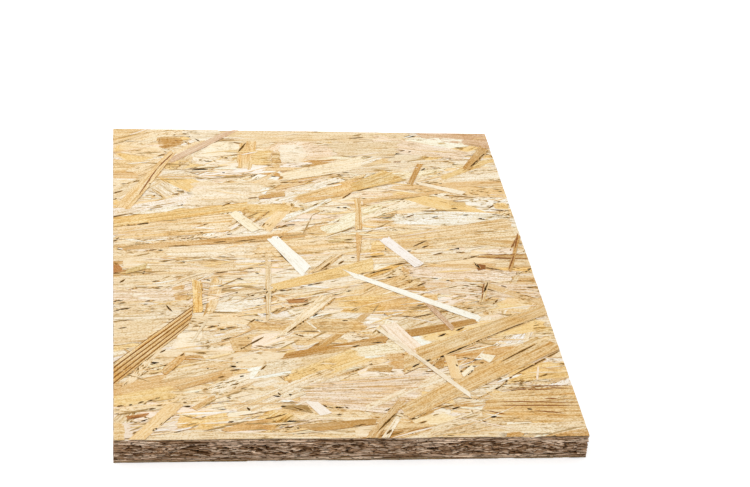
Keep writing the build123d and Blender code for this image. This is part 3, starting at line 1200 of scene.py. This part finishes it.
def strand_face_material():
    """The flat of a strand: fibres, growth rings, streaks, and painted shade in cracks and torn patches,
    along its own grain.
    """
    shader = Shader("strand_face")
    grain = shader.attribute("grain", "Vector")
    tint = shader.attribute("tint", "Color")
    stripes = shader.attribute("stripes")
    wear = shader.attribute("wear")
    place = shader.place()

    across = shader.add("ShaderNodeSeparateXYZ", {"Vector": grain}).outputs["Y"]
    sway = shader.noise(grain, (0.004, 0.06, 1.0), detail=1.0)
    closeness = shader.span(stripes, 0.0, 1.0, 1.2, 2.1)
    phase = shader.math("ADD", shader.times(across, closeness), shader.times(sway, 6.0))
    rings = shader.span(shader.math("SINE", phase), 0.2, 0.8)
    striped = shader.times(stripes, stripes)
    ring_strength = shader.span(shader.noise(grain, (0.008, 0.4, 1.0)), 0.36, 0.58, 0.15, 1.0)
    late_wood = shader.times(shader.times(rings, striped), shader.math("MAXIMUM", ring_strength, striped))
    growth = shader.math("ABSOLUTE", shader.math("SUBTRACT", shader.noise(grain, (0.008, 0.4, 1.0)), 0.5))

    fibres = shader.noise(grain, (0.035, 0.65, 1.0), detail=3.0, roughness=0.65)
    grit = shader.noise(grain, (0.7, 1.1, 1.0), detail=2.0, roughness=0.7)
    streaks = shader.noise(grain, (0.016, 0.35, 1.0), detail=3.0)
    blotches = shader.noise(place, (0.03, 0.05, 0.0), detail=3.0)
    # Torn patches and fine cracks: masks for dark dashes and lines of painted shade, each with a wider brown
    # fringe of painted shade
    patches = shader.noise(place, (0.025, 0.045, 0.0), detail=2.0)
    torn_shade_patches = shader.times(shader.span(patches, 0.53, 0.6), wear)
    dashes = shader.noise(grain, (0.2, 0.7, 1.0), detail=3.0, roughness=0.6)
    torn_halo = shader.times(torn_shade_patches, shader.span(dashes, 0.5, 0.6))
    torn = shader.times(torn_shade_patches, shader.span(dashes, 0.57, 0.63))
    contour = shader.math("ABSOLUTE", shader.math("SUBTRACT", shader.noise(grain, (0.013, 0.16, 1.0)), 0.5))
    breaks = shader.times(shader.span(shader.noise(grain, (0.05, 0.15, 1.0)), 0.54, 0.6), wear)
    crack_halo = shader.times(shader.span(contour, 0.05, 0.01), breaks)
    cracks = shader.times(shader.span(contour, 0.014, 0.0), breaks)

    light = shader.add("ShaderNodeRGBToBW", {"Color": tint}).outputs["Val"]
    pale = shader.span(light, 0.2, 0.45)
    # Dark tints, mostly the painted shade of gaps, are broken up with a lighter brown
    broken = shader.span(shader.noise(grain, (0.25, 0.8, 1.0), detail=2.0), 0.48, 0.62)
    dark_breaks = shader.times(broken, shader.span(light, 0.2, 0.1))
    lively = shader.span(stripes, 0.0, 0.5, 0.1, 1.0)
    lined = shader.span(stripes, 0.0, 0.25, 0.3, 1.0)
    bleached = shader.math("MAXIMUM", shader.span(streaks, 0.52, 0.34), shader.span(blotches, 0.48, 0.3))
    bright_grit = shader.span(grit, 0.5, 0.62)
    resinous = shader.math("MAXIMUM", shader.span(streaks, 0.5, 0.66), shader.span(blotches, 0.5, 0.72))
    colour = shader.mix(shader.times(dark_breaks, 0.35), tint, shader_colour(BROKEN_GAP))
    colour = shader.mix(shader.times(bleached, pale), colour, BLEACH, "SCREEN")
    colour = shader.mix(shader.times(bright_grit, pale), colour, BLEACH, "SCREEN")
    colour = shader.veiled(colour, shader.times(resinous, lively), RESIN)
    colour = shader.veiled(colour, shader.times(shader.span(growth, 0.03, 0.0), lively), STAIN_AND_SHADE)
    colour = shader.veiled(colour, shader.times(shader.span(fibres, 0.5, 0.3), lined), DARK_FIBRE)
    colour = shader.veiled(colour, shader.times(shader.span(grit, 0.5, 0.34), lined), DARK_FIBRE)
    colour = shader.veiled(colour, late_wood, LATE_WOOD)
    # Painted shade: brown fringes, then dark dashes in torn patches and dark lines in cracks
    colour = shader.veiled(colour, shader.math("MAXIMUM", torn_halo, crack_halo), STAIN_AND_SHADE)
    colour = shader.mix(shader.times(torn, 0.9), colour, shader_colour(TORN_PATCH_SHADE))
    colour = shader.mix(shader.times(cracks, 0.8), colour, shader_colour(FINE_CRACK_SHADE))

    grooves = shader.math("ADD", shader.math("ADD", late_wood, torn), cracks)
    height = shader.math("SUBTRACT", fibres, shader.times(grooves, 0.6))
    return shader.surface(colour, shader.span(fibres, 0.2, 0.8, 0.72, 0.5), height, 0.4, 0.0003)


def torn_fibre_material():
    """The thin sides and hidden undersides of strands, darker than their faces: torn fibre, and painted shade
    on the sides.
    """
    shader = Shader("torn_fibre_and_shade")
    grain = shader.attribute("grain", "Vector")
    tint = shader.attribute("tint", "Color")
    fibres = shader.noise(grain, (0.2, 2.0, 1.0), detail=4.0)
    dark = shader.mix(1.0, tint, TORN_SIDE_AND_SHADE, "MULTIPLY")
    colour = shader.mix(shader.span(fibres, 0.3, 0.7), dark, shader.mix(0.5, dark, tint))
    return shader.surface(colour, 0.85, fibres, 0.5, 0.0003)


def sawn_section_material(name, cut_tone_and_shade):
    """The saw's cut through strands: lines along the layers, and painted shade in pits between them."""
    shader = Shader(name)
    place = shader.place()
    tint = shader.attribute("tint", "Color")
    lines = shader.noise(place, (0.13, 0.13, 1.3), detail=4.0, roughness=0.65)
    pits = shader.noise(place, (0.3, 0.3, 1.1), detail=3.0, roughness=0.65)
    pit_shade = shader.span(pits, 0.555, 0.61)
    # the tint darkened, on the face strands' cuts partly as painted shade
    colour = shader.mix(1.0, tint, cut_tone_and_shade, "MULTIPLY")
    colour = shader.shaded(colour, shader.span(lines, 0.34, 0.66, 0.5, 1.5))
    colour = shader.mix(shader.times(pit_shade, 0.9), colour, shader_colour(SAW_PIT_SHADE))
    height = shader.math("SUBTRACT", lines, pit_shade)
    return shader.surface(colour, 0.9, height, 0.7, 0.0008)


def core_material():
    """The shaded inside of the board."""
    shader = Shader("board_inside")
    clumps = shader.noise(shader.place(), (0.1, 0.3, 0.6), detail=4.0)
    colour = shader.mix(clumps, shader_colour(CORE_SHADE_DARK), shader_colour(CORE_SHADE_LIGHT))
    return shader.surface(colour, 0.95, clumps, 0.5, 0.001)


# Stage

FLOOR_REACH_METRES = 6.0
FLOOR_COLOUR = (0.9, 0.9, 0.9, 1.0)
FLOOR_GLOW = 0.5  # only where the camera or a reflection sees the floor
WORLD_STRENGTH = 0.76
LAMP_SIZE_METRES = 0.6
LAMP_ENERGY = 14.0
LAMP_PLACE_METRES = (-0.7, 0.8, 1.7)


def add_floor():
    """A white floor that keeps the panel's soft shadow."""
    reach = FLOOR_REACH_METRES
    mesh = bpy.data.meshes.new("floor")
    corners = [(-reach, -reach, 0), (reach, -reach, 0), (reach, reach, 0), (-reach, reach, 0)]
    mesh.from_pydata(corners, [], [(0, 1, 2, 3)])
    shader = Shader("floor")
    path = shader.add("ShaderNodeLightPath")
    seen = shader.math("MAXIMUM", path.outputs["Is Camera Ray"], path.outputs["Is Glossy Ray"])
    matt = shader.add("ShaderNodeBsdfDiffuse", {"Color": FLOOR_COLOUR})
    glow = shader.add("ShaderNodeEmission", {"Strength": shader.times(seen, FLOOR_GLOW)})
    both = shader.add("ShaderNodeAddShader", {0: matt.outputs["BSDF"], 1: glow.outputs["Emission"]})
    shader.tree.links.new(both.outputs["Shader"], shader.output.inputs["Surface"])
    mesh.materials.append(shader.material)
    floor = bpy.data.objects.new("floor", mesh)
    bpy.context.collection.objects.link(floor)


def add_light():
    """Even light from all round, and a large soft lamp from behind on the left."""
    world = bpy.data.worlds.new("studio")
    bpy.context.scene.world = world
    world.use_nodes = True
    tree = world.node_tree
    path = tree.nodes.new("ShaderNodeLightPath")
    strength = tree.nodes.new("ShaderNodeMapRange")
    strength.inputs["To Min"].default_value = WORLD_STRENGTH
    strength.inputs["To Max"].default_value = 1.0
    seen = tree.nodes.new("ShaderNodeMath")
    seen.operation = "MAXIMUM"
    tree.links.new(path.outputs["Is Camera Ray"], seen.inputs[0])
    tree.links.new(path.outputs["Is Glossy Ray"], seen.inputs[1])
    tree.links.new(seen.outputs["Value"], strength.inputs["Value"])
    background = tree.nodes["Background"]
    background.inputs["Color"].default_value = (1.0, 1.0, 1.0, 1.0)
    tree.links.new(strength.outputs["Result"], background.inputs["Strength"])

    lamp = bpy.data.lights.new("key_lamp", "AREA")
    lamp.shape = "DISK"
    lamp.size = LAMP_SIZE_METRES
    lamp.energy = LAMP_ENERGY
    key = bpy.data.objects.new("key_lamp", lamp)
    key.location = LAMP_PLACE_METRES
    key.rotation_euler = (-key.location).to_track_quat("-Z", "Y").to_euler()
    bpy.context.collection.objects.link(key)


# Putting it together


def add_face(name, strands, rng, materials, turned=False):
    """One face of the panel, with a piece for each layer of its strands."""
    plates = pressed_face(strands, rng)
    for layer in ("bed", "sliver", "long", "splinter"):
        own = [plate for plate in plates if plate.layer == layer]
        if own:
            add_strands(f"{name}_{layer}_strands", own, materials, turned)


def build_panel():
    rng = np.random.default_rng(SEED)
    face = strand_face_material()
    torn = torn_fibre_material()
    cut_face = sawn_section_material("sawn_face_strand", FACE_STRAND_CUT)
    cut_edge = sawn_section_material("sawn_section", PLAIN_CUT)
    add_face("top", top_strands(rng), rng, [face, torn, cut_face])
    add_face("underside", speckled_mat(rng, UNDERSIDE_SPECKS), rng, [face, torn, cut_face], turned=True)
    sides = {"front": (0, -1), "back": (0, 1), "left": (1, -1), "right": (1, 1)}
    for name, (run_axis, sign) in sides.items():
        add_strands(f"{name}_edge_strands", edge_strands(run_axis, sign, rng), [torn, torn, cut_edge])
    add_core(core_material())


add_camera()
build_panel()
add_floor()
add_light()
bpy.context.scene.view_settings.view_transform = "Standard"
